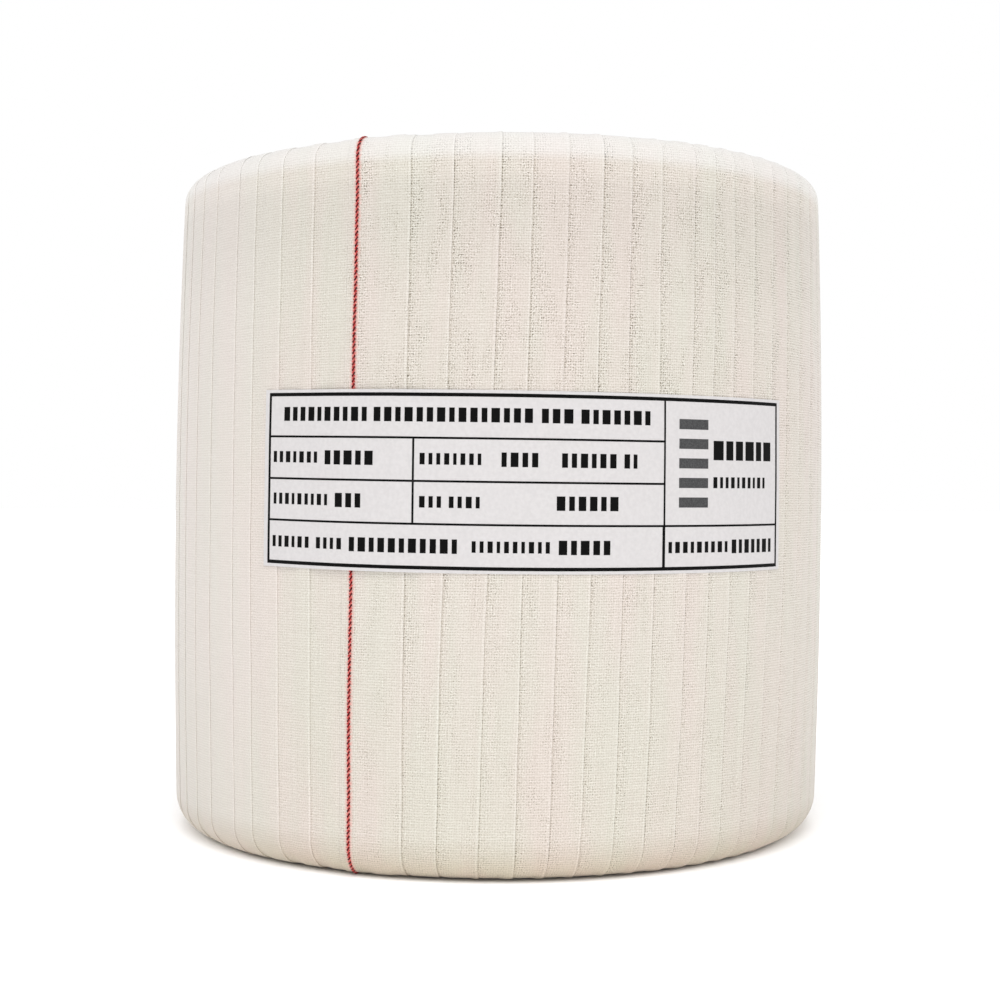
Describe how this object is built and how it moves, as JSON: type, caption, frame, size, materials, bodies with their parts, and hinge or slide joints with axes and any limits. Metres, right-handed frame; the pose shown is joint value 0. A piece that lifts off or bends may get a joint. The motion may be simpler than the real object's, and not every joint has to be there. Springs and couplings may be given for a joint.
{
  "type": "ring-type current transformer",
  "caption": "Tape-wound ring current transformer: wound steel core, two-layer secondary, pressboard packing, lapped cotton tape cover and a blank ruled label.",
  "frame": {"origin": "centre of the lower face, on the surface that the ring stands on", "axes": "+Z along the ring's axis and bore, upwards; the label faces -Y"},
  "size_m": [0.217, 0.2175, 0.2113],
  "materials": {
    "core_steel": "rolled silicon steel strip",
    "pressboard": "calendered pressboard",
    "crepe_paper": "creped insulating paper",
    "enamelled_copper": "enamelled copper wire",
    "polyester_film": "glossy polyester film",
    "cotton_tape": "woven cotton tape",
    "red_cotton": "twisted cotton thread",
    "label_paper": "smooth white paper",
    "black_ink": "printed toner"
  },
  "bodies": {
    "root": {"steel_core": "core_steel", "core_bore_sleeve": "pressboard", "core_outer_sleeve": "pressboard", "core_top_washer": "pressboard", "core_bottom_washer": "pressboard", "core_wrap": "crepe_paper", "inner_winding": "enamelled_copper", "interlayer_wrap": "crepe_paper", "outer_winding": "enamelled_copper", "winding_film": "polyester_film", "outer_sleeve": "pressboard", "bore_sleeve": "pressboard", "top_washer": "pressboard", "bottom_washer": "pressboard", "top_outer_edge_ring": "pressboard", "top_bore_edge_ring": "pressboard", "bottom_outer_edge_ring": "pressboard", "bottom_bore_edge_ring": "pressboard", "cotton_tape": "cotton_tape", "tracer_thread": "red_cotton", "label_sheet": "label_paper", "label_print": "black_ink"}
  },
  "joints": []
}
